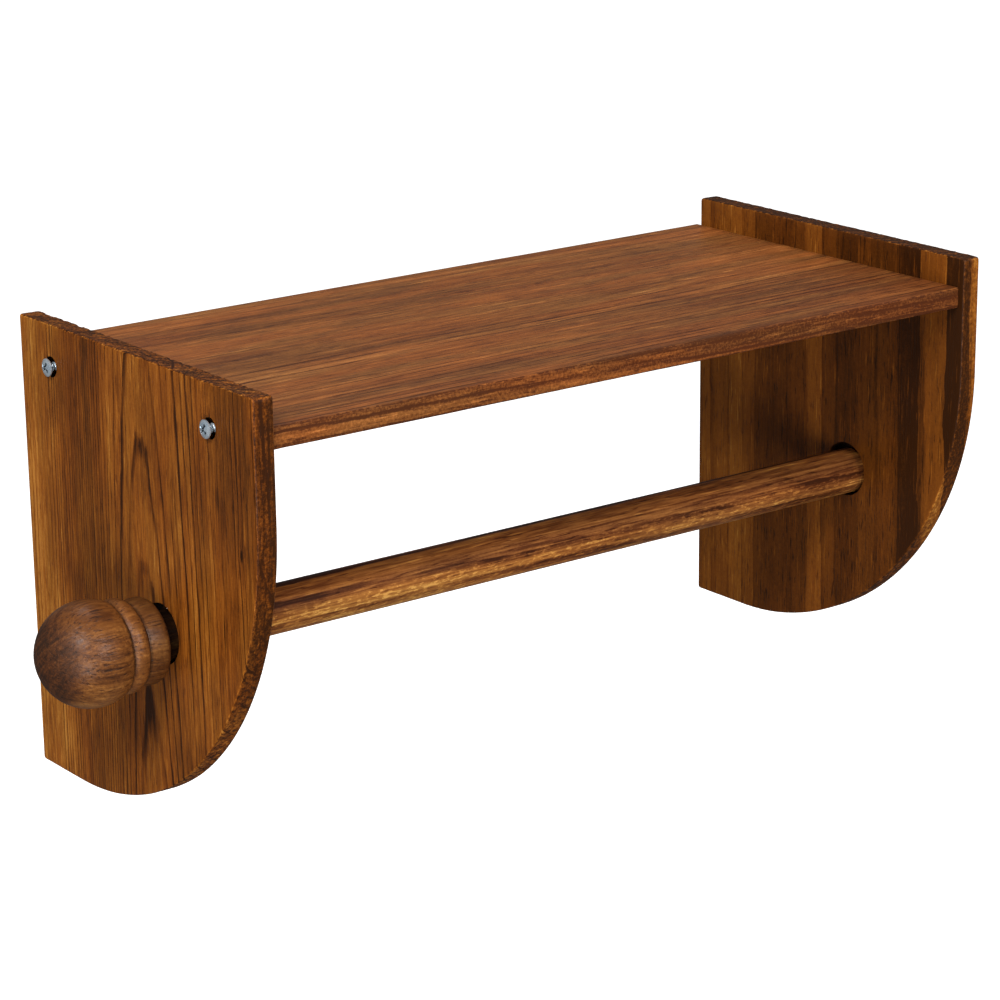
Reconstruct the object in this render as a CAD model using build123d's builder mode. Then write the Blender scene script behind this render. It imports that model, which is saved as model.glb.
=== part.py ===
from build123d import *
from collections import namedtuple
from math import asin, cos, degrees, radians, sin
import os

# Wall-hung toilet paper holder: two rounded side panels, a shelf between them and a long
# loose rod with a turned knob. Millimetres. +X runs along the rod, away from the knob,
# +Y runs into the wall, +Z is up. The origin is on the wall, midway between the two wall
# screw holes.

# Boards
BOARD = 9.5                 # thickness of the side panels and of the shelf
PANEL_HEIGHT = 200.0
PANEL_DEPTH = 180.0
BAY_WIDTH = 366.0           # between the inner faces of the side panels
CORNER_RADIUS = 147.0       # lower front corner of each side panel
CORNER_EASE = 1.5           # the panels' other corners
EDGE_ROUND = 1.0            # sanded edges
SHELF_DROP = 13.5           # from the top of the panels down to the shelf
SHELF_BACK_STEP = 3.3       # the shelf stands this far behind the panels, on the wall

# Hanger plates, folded from sheet
SHEET = 2.0
HANGER_HEIGHT = 34.0
HANGER_FLANGE = 26.0        # along the panel's inner face
HANGER_TAB = 23.0           # along the wall
BEND_INSIDE_RADIUS = 1.0
HANGER_CORNER = 4.0
HANGER_BELOW_SHELF = 3.0
WALL_HOLE_RADIUS = 2.75
WALL_HOLE_FROM_PANEL = 14.0
HANGER_SCREW_Y = -15.0
HANGER_SCREW_RISE = 9.0     # the two screws stand this far above and below the wall hole

# Rod and its holes
ROD_RADIUS = 10.5
ROD_HOLE_RADIUS = 12.7
ROD_HOLE_FROM_FRONT = 74.0
ROD_HOLE_RISE = 86.5        # above the bottom of the panels
ROD_GAP = 0.1               # the rod's running gap where it lies in its holes
ROD_REST_ANGLE = 40.0       # it lies this far round from their bottom, towards the wall
BLIND_HOLE_DEPTH = 6.0      # the right panel's hole doesn't go through
ROD_END_GAP = 0.2           # between the rod's tip and the bottom of that hole
ROD_TIP_CHAMFER = 1.5

# Knob, from the back of its collar outwards
KNOB_GAP = 4.6              # collar to the left panel's outer face
SOCKET_DEPTH = 14.0
COLLAR_BACK_RADIUS = 15.4
COLLAR_RADIUS = 18.2
COLLAR_CREST = 3.6
COLLAR_LENGTH = 10.2
GROOVE_RADIUS = 17.4        # the bead falls to this on both sides
BEAD_RADIUS = 19.7
BEAD_LENGTH = 8.8
BALL_RADIUS = 22.0
BALL_CUT = 9.7              # the ball is cut off this far behind its centre

# Wood screws: radii of the thread's crest and core, its pitch, the length under the head, and
# the head's radius and height
Screw = namedtuple("Screw", "crest core pitch length head_radius head_height")
SHELF_SCREW = Screw(2.0, 1.35, 1.8, 30.0, 3.8, 1.9)
HANGER_SCREW = Screw(1.5, 1.0, 1.35, 8.0, 2.9, 2.0)
SHELF_SCREW_FROM_FRONT = 31.5
SHELF_SCREW_FROM_BACK = 25.5
SHELF_SCREW_PROUD = 1.6     # the screws aren't driven home: their heads stand off the panels
SHELF_SCREW_CLEARANCE = 2.2 # radius of the panels' holes
COUNTERBORE_RADIUS = 4.3    # of the same holes, where the driven heads would sink in
COUNTERBORE_DEPTH = 4.0
HANGER_SCREW_GAP = 0.2      # between the screws and the hanger plates' holes
PILOT_UNDER_CREST = 0.35    # pilot holes are this much smaller than the thread's crest
PILOT_PAST_TIP = 1.0        # and this much deeper than the screw's tip
HEAD_EDGE = 0.35            # of the head's height, where the dome starts
RECESS_SPAN = 1.1           # of the head's radius, across the cross recess
RECESS_WIDTH = 0.24         # of the head's radius
RECESS_DEPTH = 0.6          # of the head's height

# Dowel screw between the rod and the knob: threaded at both ends, plain in the middle
DOWEL_CREST = 3.0
DOWEL_CORE = 2.2
DOWEL_PITCH = 2.5
DOWEL_LENGTH = 40.0
DOWEL_PLAIN = 5.0
DOWEL_GAP = 0.15            # around the thread in its bores
DOWEL_END_GAP = 0.5

SAME_LENGTH = 0.01          # edges this close in length count as equal

# Places worked out from the sizes above
bay_side = BAY_WIDTH / 2
outer_side = bay_side + BOARD
panel_back = -SHELF_BACK_STEP
panel_front = panel_back - PANEL_DEPTH
shelf_top = HANGER_HEIGHT / 2 + HANGER_BELOW_SHELF + BOARD
shelf_middle = shelf_top - BOARD / 2
panel_top = shelf_top + SHELF_DROP
panel_bottom = panel_top - PANEL_HEIGHT
wall_hole_x = bay_side - WALL_HOLE_FROM_PANEL
rod_hole_y = panel_front + ROD_HOLE_FROM_FRONT
rod_hole_z = panel_bottom + ROD_HOLE_RISE
rod_offset = ROD_HOLE_RADIUS - ROD_RADIUS - ROD_GAP
rod_y = rod_hole_y + rod_offset * sin(radians(ROD_REST_ANGLE))
rod_z = rod_hole_z - rod_offset * cos(radians(ROD_REST_ANGLE))
collar_back = -outer_side - KNOB_GAP
rod_start = collar_back - SOCKET_DEPTH
rod_end = bay_side + BLIND_HOLE_DEPTH - ROD_END_GAP
screw_rows = {
    "front": panel_front + SHELF_SCREW_FROM_FRONT,
    "rear": panel_back - SHELF_SCREW_FROM_BACK,
}
hanger_rows = {"upper": HANGER_SCREW_RISE, "lower": -HANGER_SCREW_RISE}
sides = {"left": -1, "right": 1}
rod_hole_depths = {"left": BOARD, "right": BLIND_HOLE_DEPTH}

os.makedirs("parts", exist_ok=True)


def save(part, name):
    """Label one finished piece and write it."""
    part.label = name
    export_step(part, f"parts/{name}.step")


def facing(x, y, z, direction):
    """A plane at a point on the X side of the part, looking along +X or -X."""
    return Plane(origin=(x, y, z), x_dir=(0, 1, 0), z_dir=(direction, 0, 0))


def ridges(low, high, pitch, core, crest):
    """Points up one side of a thread's ridges, as (radius, height)."""
    count = int((high - low) / pitch)
    points = []
    for turn in range(count):
        foot = low + turn * pitch
        points.append((core, foot))
        points.append((crest, foot + pitch / 2))
    points.append((core, low + count * pitch))
    return points


def half_section(seat):
    """The plane through a seat's axis: local x is the radius and local y the height."""
    return Plane(origin=seat.origin, x_dir=seat.x_dir, z_dir=-seat.y_dir)


def pan_screw(seat, size):
    """A cross-head wood screw. The seat is the plane under its head, facing outwards."""
    thread_start = 2 * size.crest - size.length
    dome_start = (size.head_radius, HEAD_EDGE * size.head_height)
    dome_top = (0, size.head_height)
    recess_span = RECESS_SPAN * size.head_radius
    recess_width = RECESS_WIDTH * size.head_radius
    with BuildPart() as screw:
        with BuildSketch(half_section(seat)):
            with BuildLine():
                Polyline(
                    dome_top,
                    (0, -size.length),
                    *ridges(thread_start, -size.pitch / 2, size.pitch, size.core, size.crest),
                    (size.core, 0),
                    (size.head_radius, 0),
                    dome_start,
                )
                TangentArc(dome_top, dome_start, tangent=(1, 0))
            make_face()
        revolve(axis=Axis(seat.origin, seat.z_dir))
        with BuildSketch(seat.offset(size.head_height)):
            Rectangle(recess_span, recess_width)
            Rectangle(recess_width, recess_span)
        extrude(amount=-RECESS_DEPTH * size.head_height, mode=Mode.SUBTRACT)
    return screw.part


# Side panels: flat boards whose lower front corner is one large arc
for side, sign in sides.items():
    with BuildPart() as side_panel:
        with BuildSketch(Plane.YZ.offset(sign * bay_side)):
            with BuildLine():
                Polyline(
                    (panel_front, panel_bottom + CORNER_RADIUS),
                    (panel_front, panel_top),
                    (panel_back, panel_top),
                    (panel_back, panel_bottom),
                    (panel_front + CORNER_RADIUS, panel_bottom),
                )
                CenterArc(
                    (panel_front + CORNER_RADIUS, panel_bottom + CORNER_RADIUS),
                    CORNER_RADIUS,
                    start_angle=180,
                    arc_size=90,
                )
            make_face()
        extrude(amount=sign * BOARD)
        back_corners = side_panel.edges().filter_by(Axis.X).group_by(Axis.Y)[-1]
        top_corners = side_panel.edges().filter_by(Axis.X).group_by(Axis.Z)[-1]
        top_front_corner = top_corners.sort_by(Axis.Y)[0]
        fillet(back_corners + ShapeList([top_front_corner]), radius=CORNER_EASE)
        fillet(side_panel.faces().filter_by(Axis.X).edges(), radius=EDGE_ROUND)
        with Locations(facing(sign * bay_side, rod_hole_y, rod_hole_z, -sign)):
            Hole(ROD_HOLE_RADIUS, depth=rod_hole_depths[side])
        for y in screw_rows.values():
            with Locations(facing(sign * outer_side, y, shelf_middle, sign)):
                CounterBoreHole(SHELF_SCREW_CLEARANCE, COUNTERBORE_RADIUS, COUNTERBORE_DEPTH)
        for z in hanger_rows.values():
            with Locations(facing(sign * bay_side, HANGER_SCREW_Y, z, -sign)):
                Hole(HANGER_SCREW.crest - PILOT_UNDER_CREST, depth=HANGER_SCREW.length - SHEET)
    save(side_panel.part, f"side_panel_{side}")

# Shelf, glued and screwed between the panels
with BuildPart() as shelf:
    with BuildSketch(Plane.YZ.offset(-bay_side)):
        with Locations((-PANEL_DEPTH / 2, shelf_middle)):
            Rectangle(PANEL_DEPTH, BOARD)
    extrude(amount=BAY_WIDTH)
    fillet(shelf.edges().filter_by(Axis.X), radius=EDGE_ROUND)
    pilot_depth = SHELF_SCREW.length - SHELF_SCREW_PROUD - BOARD + PILOT_PAST_TIP
    for sign in sides.values():
        for y in screw_rows.values():
            with Locations(facing(sign * bay_side, y, shelf_middle, sign)):
                Hole(SHELF_SCREW.crest - PILOT_UNDER_CREST, depth=pilot_depth)
save(shelf.part, "shelf")

# Shelf screws, through the panels' counterbored holes into the ends of the shelf
for side, sign in sides.items():
    for row, y in screw_rows.items():
        seat = facing(sign * (outer_side + SHELF_SCREW_PROUD), y, shelf_middle, sign)
        save(pan_screw(seat, SHELF_SCREW), f"shelf_screw_{side}_{row}")

# Hanger plates: one flange on the panel, one tab on the wall with the wall screw's hole
for side, sign in sides.items():
    flange_x = sign * (bay_side - SHEET)
    tab_x = sign * (bay_side - HANGER_TAB)
    with BuildPart() as hanger:
        with BuildSketch(Plane.XY.offset(-HANGER_HEIGHT / 2)) as angle:
            with BuildLine():
                Polyline(
                    (sign * bay_side, 0),
                    (sign * bay_side, -HANGER_FLANGE),
                    (flange_x, -HANGER_FLANGE),
                    (flange_x, -SHEET),
                    (tab_x, -SHEET),
                    (tab_x, 0),
                    close=True,
                )
            make_face()
            inside = angle.vertices().sort_by_distance((flange_x, -SHEET))[0]
            fillet(inside, radius=BEND_INSIDE_RADIUS)
            outside = angle.vertices().sort_by_distance((sign * bay_side, 0))[0]
            fillet(outside, radius=BEND_INSIDE_RADIUS + SHEET)
        extrude(amount=HANGER_HEIGHT)
        corners = hanger.edges().filter_by(lambda edge: abs(edge.length - SHEET) < SAME_LENGTH)
        fillet(corners, radius=HANGER_CORNER)
        with Locations(Plane(origin=(sign * wall_hole_x, 0, 0), z_dir=(0, 1, 0))):
            Hole(WALL_HOLE_RADIUS)
        for z in hanger_rows.values():
            with Locations(facing(flange_x, HANGER_SCREW_Y, z, -sign)):
                Hole(HANGER_SCREW.crest + HANGER_SCREW_GAP, depth=2 * SHEET)
    save(hanger.part, f"hanger_plate_{side}")

# Hanger screws, through the flanges into the panels
for side, sign in sides.items():
    for row, z in hanger_rows.items():
        seat = facing(sign * (bay_side - SHEET), HANGER_SCREW_Y, z, -sign)
        save(pan_screw(seat, HANGER_SCREW), f"hanger_screw_{side}_{row}")

# Rod: a plain dowel, glued into the knob's socket and bored for the dowel screw
dowel_bore = DOWEL_CREST + DOWEL_GAP
dowel_bore_depth = DOWEL_LENGTH / 2 + DOWEL_END_GAP
with BuildPart() as rod:
    with BuildSketch(facing(rod_start, rod_y, rod_z, 1)):
        Circle(ROD_RADIUS)
    extrude(amount=rod_end - rod_start)
    chamfer(rod.edges().group_by(Axis.X)[-1], length=ROD_TIP_CHAMFER)
    with Locations(facing(rod_start, rod_y, rod_z, -1)):
        Hole(dowel_bore, depth=dowel_bore_depth)
save(rod.part, "rod")

# Knob: collar, bead and a ball with its back cut off, turned in one piece, with a stepped bore
# for the rod and the dowel screw
knob_seat = facing(collar_back, rod_y, rod_z, -1)
ball_start = COLLAR_LENGTH + BEAD_LENGTH
bore_end = SOCKET_DEPTH + dowel_bore_depth
ball_centre = ball_start + BALL_CUT
ball_cut_angle = degrees(asin(BALL_CUT / BALL_RADIUS))
with BuildPart() as knob:
    with BuildSketch(half_section(knob_seat)):
        with BuildLine():
            Polyline(
                (0, bore_end),
                (dowel_bore, bore_end),
                (dowel_bore, SOCKET_DEPTH),
                (ROD_RADIUS, SOCKET_DEPTH),
                (ROD_RADIUS, 0),
                (COLLAR_BACK_RADIUS, 0),
            )
            crest = (COLLAR_RADIUS, COLLAR_CREST)
            groove = (GROOVE_RADIUS, COLLAR_LENGTH)
            TangentArc(crest, (COLLAR_BACK_RADIUS, 0), tangent=(0, -1))
            TangentArc(crest, groove, tangent=(0, 1))
            ThreePointArc(
                groove,
                (BEAD_RADIUS, COLLAR_LENGTH + BEAD_LENGTH / 2),
                (GROOVE_RADIUS, ball_start),
            )
            ball = CenterArc(
                (0, ball_centre),
                BALL_RADIUS,
                start_angle=-ball_cut_angle,
                arc_size=90 + ball_cut_angle,
            )
            Line((GROOVE_RADIUS, ball_start), ball @ 0)
            Line(ball @ 1, (0, bore_end))
        make_face()
    revolve(axis=Axis(knob_seat.origin, knob_seat.z_dir))
save(knob.part, "knob")

# Dowel screw between them: a double-ended wood screw with a plain middle
dowel_seat = facing(rod_start, rod_y, rod_z, -1)
tip = DOWEL_LENGTH / 2
thread_end = tip - 2 * DOWEL_CREST
with BuildPart() as dowel_screw:
    with BuildSketch(half_section(dowel_seat)):
        with BuildLine():
            Polyline(
                (0, -tip),
                *ridges(-thread_end, -DOWEL_PLAIN / 2, DOWEL_PITCH, DOWEL_CORE, DOWEL_CREST),
                *ridges(DOWEL_PLAIN / 2, thread_end, DOWEL_PITCH, DOWEL_CORE, DOWEL_CREST),
                (0, tip),
                close=True,
            )
        make_face()
    revolve(axis=Axis(dowel_seat.origin, dowel_seat.z_dir))
save(dowel_screw.part, "knob_dowel_screw")
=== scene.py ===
import math

import bmesh
import bpy
from mathutils import Matrix, Vector, geometry, kdtree, noise


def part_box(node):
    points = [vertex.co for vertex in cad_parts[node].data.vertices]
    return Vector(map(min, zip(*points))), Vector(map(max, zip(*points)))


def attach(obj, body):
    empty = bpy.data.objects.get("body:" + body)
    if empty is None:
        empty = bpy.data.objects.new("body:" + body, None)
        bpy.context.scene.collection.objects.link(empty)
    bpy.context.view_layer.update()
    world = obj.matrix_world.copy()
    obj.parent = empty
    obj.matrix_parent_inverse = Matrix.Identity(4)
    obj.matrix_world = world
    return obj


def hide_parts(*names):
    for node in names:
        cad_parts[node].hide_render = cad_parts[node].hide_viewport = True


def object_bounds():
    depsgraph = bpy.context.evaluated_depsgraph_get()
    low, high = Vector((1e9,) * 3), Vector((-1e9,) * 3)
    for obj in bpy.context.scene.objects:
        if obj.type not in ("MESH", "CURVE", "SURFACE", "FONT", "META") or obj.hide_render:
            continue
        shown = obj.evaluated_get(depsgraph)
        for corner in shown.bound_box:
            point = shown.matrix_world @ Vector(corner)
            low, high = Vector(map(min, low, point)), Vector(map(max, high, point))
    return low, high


# The looks of a wall-hung toilet paper holder in dark stained wood, built around its CAD frame.
# Shapes are worked out in millimetres in the part's frame: +X along the rod, away from its
# knob, +Y into the wall, +Z up. Meshes are written in metres.

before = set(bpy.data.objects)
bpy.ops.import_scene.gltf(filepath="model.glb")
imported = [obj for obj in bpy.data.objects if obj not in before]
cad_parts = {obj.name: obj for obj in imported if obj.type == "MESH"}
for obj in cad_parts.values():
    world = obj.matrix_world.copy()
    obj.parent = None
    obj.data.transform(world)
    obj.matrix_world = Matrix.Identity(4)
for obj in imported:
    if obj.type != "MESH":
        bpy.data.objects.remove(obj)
cad_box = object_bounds()

MM = 0.001


def box(node):
    """A CAD node's lowest and highest corners, in millimetres."""
    low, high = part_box(node)
    return low / MM, high / MM


# Places, from the frame
panel_boxes = {side: box(f"side_panel_{side}") for side in ("left", "right")}
shelf_low, shelf_high = box("shelf")
rod_low, rod_high = box("rod")
knob_low, knob_high = box("knob")
sides = {"left": -1, "right": 1}
panel_low, panel_high = panel_boxes["left"]
rod_radius = (rod_high.z - rod_low.z) / 2
rod_y = (rod_low.y + rod_high.y) / 2
rod_z = (rod_low.z + rod_high.z) / 2
shelf_middle = (shelf_low.z + shelf_high.z) / 2

# Boards
CORNER_RADIUS = 147.0       # the lower front corner of the side panels
CORNER_EASE = 1.5
EDGE_ROUND = 1.0
ROD_HOLE_RADIUS = 12.7
ROD_HOLE_FROM_FRONT = 74.0
ROD_HOLE_RISE = 86.5        # above the panels' lower edge
BLIND_HOLE_DEPTH = 6.0      # of the right panel's rod hole
SCREW_HOLE_RADIUS = 2.2
COUNTERBORE_RADIUS = 4.3    # of the same holes, on the panels' outer faces
COUNTERBORE_DEPTH = 4.0
HOLE_ROUND = 0.3

# Meshes
ROUND_STEPS = 4             # of a rounded arris
OUTLINE_STEP = 1.0
GRID_STEP = 2.4
PANEL_WAIST = 5             # rings across a panel's edge
SHELF_WAIST = 150           # and along the shelf, which is a slab from end to end
SHELF_STEP = 2.0
SHELF_END_ROUND = 0.1
WELD = 1e-4                 # points closer than this are one
SHARP_ANGLE = 38            # degrees

# Rod
ROD_TIP_ROUND = 1.5
ROD_TIP_MARGIN = 0.5        # left between the last straight ring and the tip's round
ROD_BACK_ROUND = 0.2
ROD_STEP = 3.0
ROD_SEGMENTS = 72

# Knob, from the back of its collar outwards
SOCKET_DEPTH = 14.0
BORE_RADIUS = 3.15
BORE_DEPTH = 34.5
COLLAR_BACK_RADIUS = 15.4
COLLAR_RADIUS = 18.2
COLLAR_BACK_ROUND = 0.5
COLLAR_CREST = 3.6
COLLAR_LENGTH = 10.2
GROOVE_RADIUS = 17.4
BEAD_RADIUS = 19.7
BEAD_LENGTH = 8.8
BALL_RADIUS = (knob_high.z - knob_low.z) / 2
BALL_CUT = 9.7              # from the ball's middle to the last groove
KNOB_SEGMENTS = 128
SOCKET_ROUND = 0.4

# Screws: radii of the thread's crest and core, its pitch, head radius and height
SHELF_SCREW = {"crest": 2.0, "core": 1.35, "pitch": 1.8, "head_radius": 3.8, "head_height": 1.9}
HANGER_SCREW = {"crest": 1.5, "core": 1.0, "pitch": 1.35, "head_radius": 2.9, "head_height": 2.0}


# ---------------------------------------------------------------- mesh helpers


def make_piece(name, points, faces, body, replaced, material, relief=None):
    """One closed mesh that rides on a body and stands for CAD nodes. relief gives the depth, in
    millimetres, that a point on the surface sinks under it."""
    mesh = bpy.data.meshes.new(name)
    mesh.from_pydata([Vector(point) for point in points], [], faces)
    shape = bmesh.new()
    shape.from_mesh(mesh)
    bmesh.ops.remove_doubles(shape, verts=shape.verts, dist=WELD)
    bmesh.ops.recalc_face_normals(shape, faces=shape.faces)
    shape.normal_update()
    if relief:
        moves = [(vertex, relief(vertex.co, vertex.normal)) for vertex in shape.verts]
        for vertex, depth in moves:
            vertex.co -= vertex.normal * depth
    bmesh.ops.scale(shape, vec=(MM, MM, MM), verts=shape.verts)
    shape.to_mesh(mesh)
    shape.free()
    mesh.shade_smooth()
    mesh.set_sharp_from_angle(angle=math.radians(SHARP_ANGLE))
    mesh.materials.append(material)
    piece = bpy.data.objects.new(name, mesh)
    bpy.context.scene.collection.objects.link(piece)
    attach(piece, body)
    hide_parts(*replaced)


def rounded_loop(corners, step):
    """Points round a closed polygon with rounded corners, given as (x, y, radius)."""
    points = []
    last_end = None
    starts = []
    for index, (x, y, radius) in enumerate(corners):
        corner = Vector((x, y))
        back = (Vector(corners[index - 1][:2]) - corner).normalized()
        on = (Vector(corners[(index + 1) % len(corners)][:2]) - corner).normalized()
        half = back.angle(on) / 2
        centre = corner + (back + on).normalized() * radius / math.sin(half)
        start = corner + back * radius / math.tan(half)
        turn = math.pi - 2 * half
        count = max(3, math.ceil(radius * turn / step))
        spoke = start - centre
        arc = []
        for stop in range(count + 1):
            angle = turn * stop / count
            cosine, sine = math.cos(angle), math.sin(angle)
            arc.append(centre + Vector((spoke.x * cosine - spoke.y * sine,
                                        spoke.x * sine + spoke.y * cosine)))
        if last_end is not None:
            points += straight(last_end, arc[0], step)
        points += arc
        last_end = arc[-1]
        starts.append(arc[0])
    return points + straight(last_end, starts[0], step)


def straight(start, end, step):
    """Points strictly between two points, at about one step."""
    count = max(1, round((end - start).length / step))
    return [start.lerp(end, part / count) for part in range(1, count)]


def circle(x, y, radius, step):
    """A circle's points, clockwise, as a hole's outline runs."""
    count = max(24, round(2 * math.pi * radius / step))
    angles = [-2 * math.pi * turn / count for turn in range(count)]
    return [Vector((x + radius * math.cos(a), y + radius * math.sin(a))) for a in angles]


def outward(loop):
    """The normals of a loop that keeps the material on its left."""
    normals = []
    for index in range(len(loop)):
        along = loop[(index + 1) % len(loop)] - loop[index - 1]
        normals.append(Vector((along.y, -along.x)).normalized())
    return normals


def edge_rings(thickness, rounding, waist):
    """(inset, depth) of the rings that round both arrises of an edge, from face to face."""
    near = []
    for step in range(ROUND_STEPS + 1):
        angle = math.pi / 2 * step / ROUND_STEPS
        near.append((rounding * (1 - math.sin(angle)), rounding * (1 - math.cos(angle))))
    middle = []
    for part in range(1, waist):
        middle.append((0, rounding + (thickness - 2 * rounding) * part / waist))
    far = [(inset, thickness - depth) for inset, depth in reversed(near)]
    return near + middle + far


class Hole:
    """A round hole in a board: it opens on face 0 or 1, and past its depth it goes on to the
    other face with its inner radius, if it has one."""

    def __init__(self, x, y, radius, depth, inner=0.0, face=0):
        self.spot = Vector((x, y))
        self.radius = radius
        self.depth = depth
        self.inner = inner
        self.face = face

    def rings(self, thickness, waist):
        """(inset, depth) of the rings of its wall, from face 0 or 1 inwards."""
        if self.depth >= thickness:
            rings = edge_rings(thickness, HOLE_ROUND, waist)
        else:
            mouth = edge_rings(self.depth, HOLE_ROUND, waist)[:-ROUND_STEPS - 1]
            rings = mouth + [(0, self.depth)]
            if self.inner:
                step_in = self.inner - self.radius
                rings += [(step_in, self.depth), (step_in, thickness)]
        if self.face:
            rings = [(inset, thickness - depth) for inset, depth in rings]
        return rings


def slab(outline, holes, thickness, waist, grid, rounding=EDGE_ROUND):
    """A board's points (across, up, depth) and faces: rounded outline, holes, and both faces
    filled with a grid."""
    points, faces = [], []
    rims, cuts = ([], []), ([], [])

    def wall(loop, rings):
        first = len(points)
        size = len(loop)
        normals = outward(loop)
        for inset, depth in rings:
            for point, normal in zip(loop, normals):
                spot = point - normal * inset
                points.append((spot.x, spot.y, depth))
        for ring in range(len(rings) - 1):
            for index in range(size):
                a = first + ring * size + index
                b = first + ring * size + (index + 1) % size
                faces.append((a, b, b + size, a + size))
        return range(first, first + size), range(len(points) - size, len(points))

    for rim, face_rims in zip(wall(outline, edge_rings(thickness, rounding, waist)), rims):
        face_rims.append(rim)
    for hole in holes:
        loop = circle(*hole.spot, hole.radius, OUTLINE_STEP)
        near, far = wall(loop, hole.rings(thickness, waist))
        rims[hole.face].append(near)
        cuts[hole.face].append((hole.spot, hole.radius + HOLE_ROUND))
        if hole.depth >= thickness or hole.inner:
            rims[1 - hole.face].append(far)
            cuts[1 - hole.face].append((hole.spot, hole.inner or hole.radius + HOLE_ROUND))
        else:
            faces.append(tuple(far))
    for face_rims, face_cuts in zip(rims, cuts):
        fill(points, faces, face_rims, face_cuts, grid)
    return points, faces


def fill(points, faces, rims, cuts, grid):
    """Triangulates one face of a board inside its first rim and outside its holes' circles."""
    depth = points[rims[0][0]][2]
    flat, names, edges = [], [], []
    for loop in rims:
        first = len(flat)
        for index, name in enumerate(loop):
            flat.append(Vector(points[name][:2]))
            names.append(name)
            edges.append((first + index, first + (index + 1) % len(loop)))
    tree = kdtree.KDTree(len(flat))
    for index, point in enumerate(flat):
        tree.insert(point.to_3d(), index)
    tree.balance()
    low = Vector((min(p.x for p in flat), min(p.y for p in flat)))
    high = Vector((max(p.x for p in flat), max(p.y for p in flat)))
    for row in range(1, int((high.y - low.y) / grid) + 1):
        for column in range(1, int((high.x - low.x) / grid) + 1):
            shift = 0.5 * (row % 2)
            spot = low + Vector(((column - shift) * grid, row * grid))
            if tree.find(spot.to_3d())[2] > 0.6 * grid:
                flat.append(spot)
                names.append(None)
    spots, _, triangles, origins, _, _ = geometry.delaunay_2d_cdt(flat, edges, [], 1, 1e-6)
    own = {}
    for triangle in triangles:
        middle = sum((spots[corner] for corner in triangle), Vector((0, 0))) / 3
        if any((middle - spot).length < radius for spot, radius in cuts):
            continue
        face = []
        for corner in triangle:
            if corner not in own:
                name = names[origins[corner][0]]
                if name is None:
                    name = len(points)
                    points.append((spots[corner].x, spots[corner].y, depth))
                own[corner] = name
            face.append(own[corner])
        faces.append(tuple(face))


def turned(profile, segments, place):
    """A solid of revolution: profile is (along, radius) from pole to pole, and place puts
    (along, side, up) in the part's frame."""
    points, faces, rings = [], [], []
    for along, radius in profile:
        if radius < 1e-6:
            rings.append([len(points)] * segments)
            points.append(place(along, 0, 0))
            continue
        rings.append(list(range(len(points), len(points) + segments)))
        for segment in range(segments):
            angle = 2 * math.pi * segment / segments
            points.append(place(along, radius * math.cos(angle), radius * math.sin(angle)))
    for ring, following in zip(rings, rings[1:]):
        for segment in range(segments):
            after = (segment + 1) % segments
            face = [ring[segment], ring[after], following[after], following[segment]]
            faces.append(tuple(dict.fromkeys(face)))
    return points, faces


def arc(centre, radius, start, end, steps):
    """Points of a profile's arc about (along, radius), angles in degrees."""
    points = []
    for step in range(steps + 1):
        angle = math.radians(start + (end - start) * step / steps)
        points.append((centre[0] + radius * math.cos(angle), centre[1] + radius * math.sin(angle)))
    return points


def arc_through(start, middle, end, steps):
    """Points of a profile's arc through three points."""
    centre = circumcentre(Vector(start), Vector(middle), Vector(end))
    radius = (Vector(start) - centre).length
    angles = [math.atan2(p[1] - centre.y, p[0] - centre.x) for p in (start, end)]
    return arc(centre, radius, math.degrees(angles[0]), math.degrees(angles[1]), steps)


def circumcentre(a, b, c):
    """The centre of the circle through three points."""
    d = 2 * (a.x * (b.y - c.y) + b.x * (c.y - a.y) + c.x * (a.y - b.y))
    sa, sb, sc = a.length_squared, b.length_squared, c.length_squared
    x = (sa * (b.y - c.y) + sb * (c.y - a.y) + sc * (a.y - b.y)) / d
    y = (sa * (c.x - b.x) + sb * (a.x - c.x) + sc * (b.x - a.x)) / d
    return Vector((x, y))


# ---------------------------------------------------------------- material helpers


def tint(red, green, blue):
    """An sRGB colour, 0 to 255, as a linear one."""
    channels = []
    for value in (red, green, blue):
        share = value / 255
        channels.append(share / 12.92 if share < 0.04045 else ((share + 0.055) / 1.055) ** 2.4)
    return (*channels, 1.0)


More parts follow.
